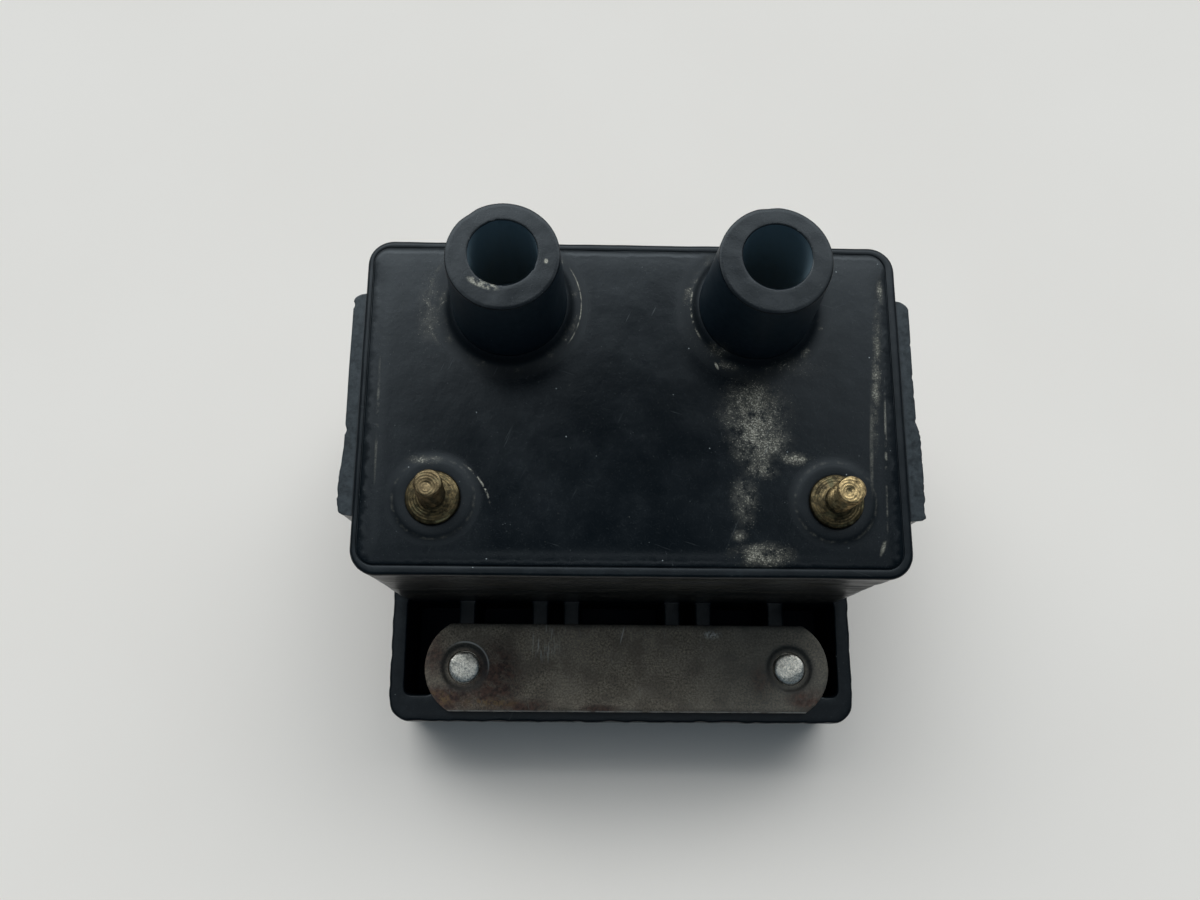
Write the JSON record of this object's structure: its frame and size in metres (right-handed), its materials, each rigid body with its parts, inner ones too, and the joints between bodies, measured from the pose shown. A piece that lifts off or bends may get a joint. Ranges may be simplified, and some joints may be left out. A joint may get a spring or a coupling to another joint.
{
  "type": "ignition coil",
  "caption": "Double-ended ignition coil: rectangular black potted case with high-tension towers, brass primary studs, and a ribbed mounting foot with a steel strap.",
  "frame": {"origin": "centre of the bounding box at the back plane, the plane that the coil lies on", "axes": "+Z out of the terminal face, along the towers; +X to the right along the case's long side; +Y away from the mounting foot"},
  "size_m": [0.0868, 0.0732, 0.0735],
  "materials": {
    "phenolic": "semi-matte black moulding",
    "potting": "dark potting compound",
    "steel_strap": "dull grey-brown steel with rust",
    "steel_pillar": "bright peened steel",
    "brass_stud": "aged brass",
    "brass_contact": "dull brass",
    "tinned_brass": "tinned",
    "copper_wire": "bare copper",
    "core_steel": "blued silicon steel",
    "bobbin_plastic": "natural moulding",
    "primary_wire": "enamelled copper",
    "secondary_wire": "fine enamelled copper",
    "paper": "varnished paper"
  },
  "bodies": {
    "root": {"case": "phenolic", "terminal_cover": "phenolic", "potting_compound": "potting", "mounting_strap": "steel_strap", "mounting_pillar_left": "steel_pillar", "mounting_pillar_right": "steel_pillar", "primary_stud_left": "brass_stud", "primary_stud_right": "brass_stud", "primary_lug_left": "tinned_brass", "primary_lug_right": "tinned_brass", "primary_lead_left": "copper_wire", "primary_lead_right": "copper_wire", "ht_contact_left": "brass_contact", "ht_contact_right": "brass_contact", "ht_lead_left": "copper_wire", "ht_lead_right": "copper_wire", "core_centre_limb": "core_steel", "core_yoke_left": "core_steel", "core_yoke_right": "core_steel", "primary_bobbin": "bobbin_plastic", "secondary_bobbin": "bobbin_plastic", "primary_winding": "primary_wire", "secondary_winding": "secondary_wire", "winding_insulation": "paper"}
  },
  "joints": []
}
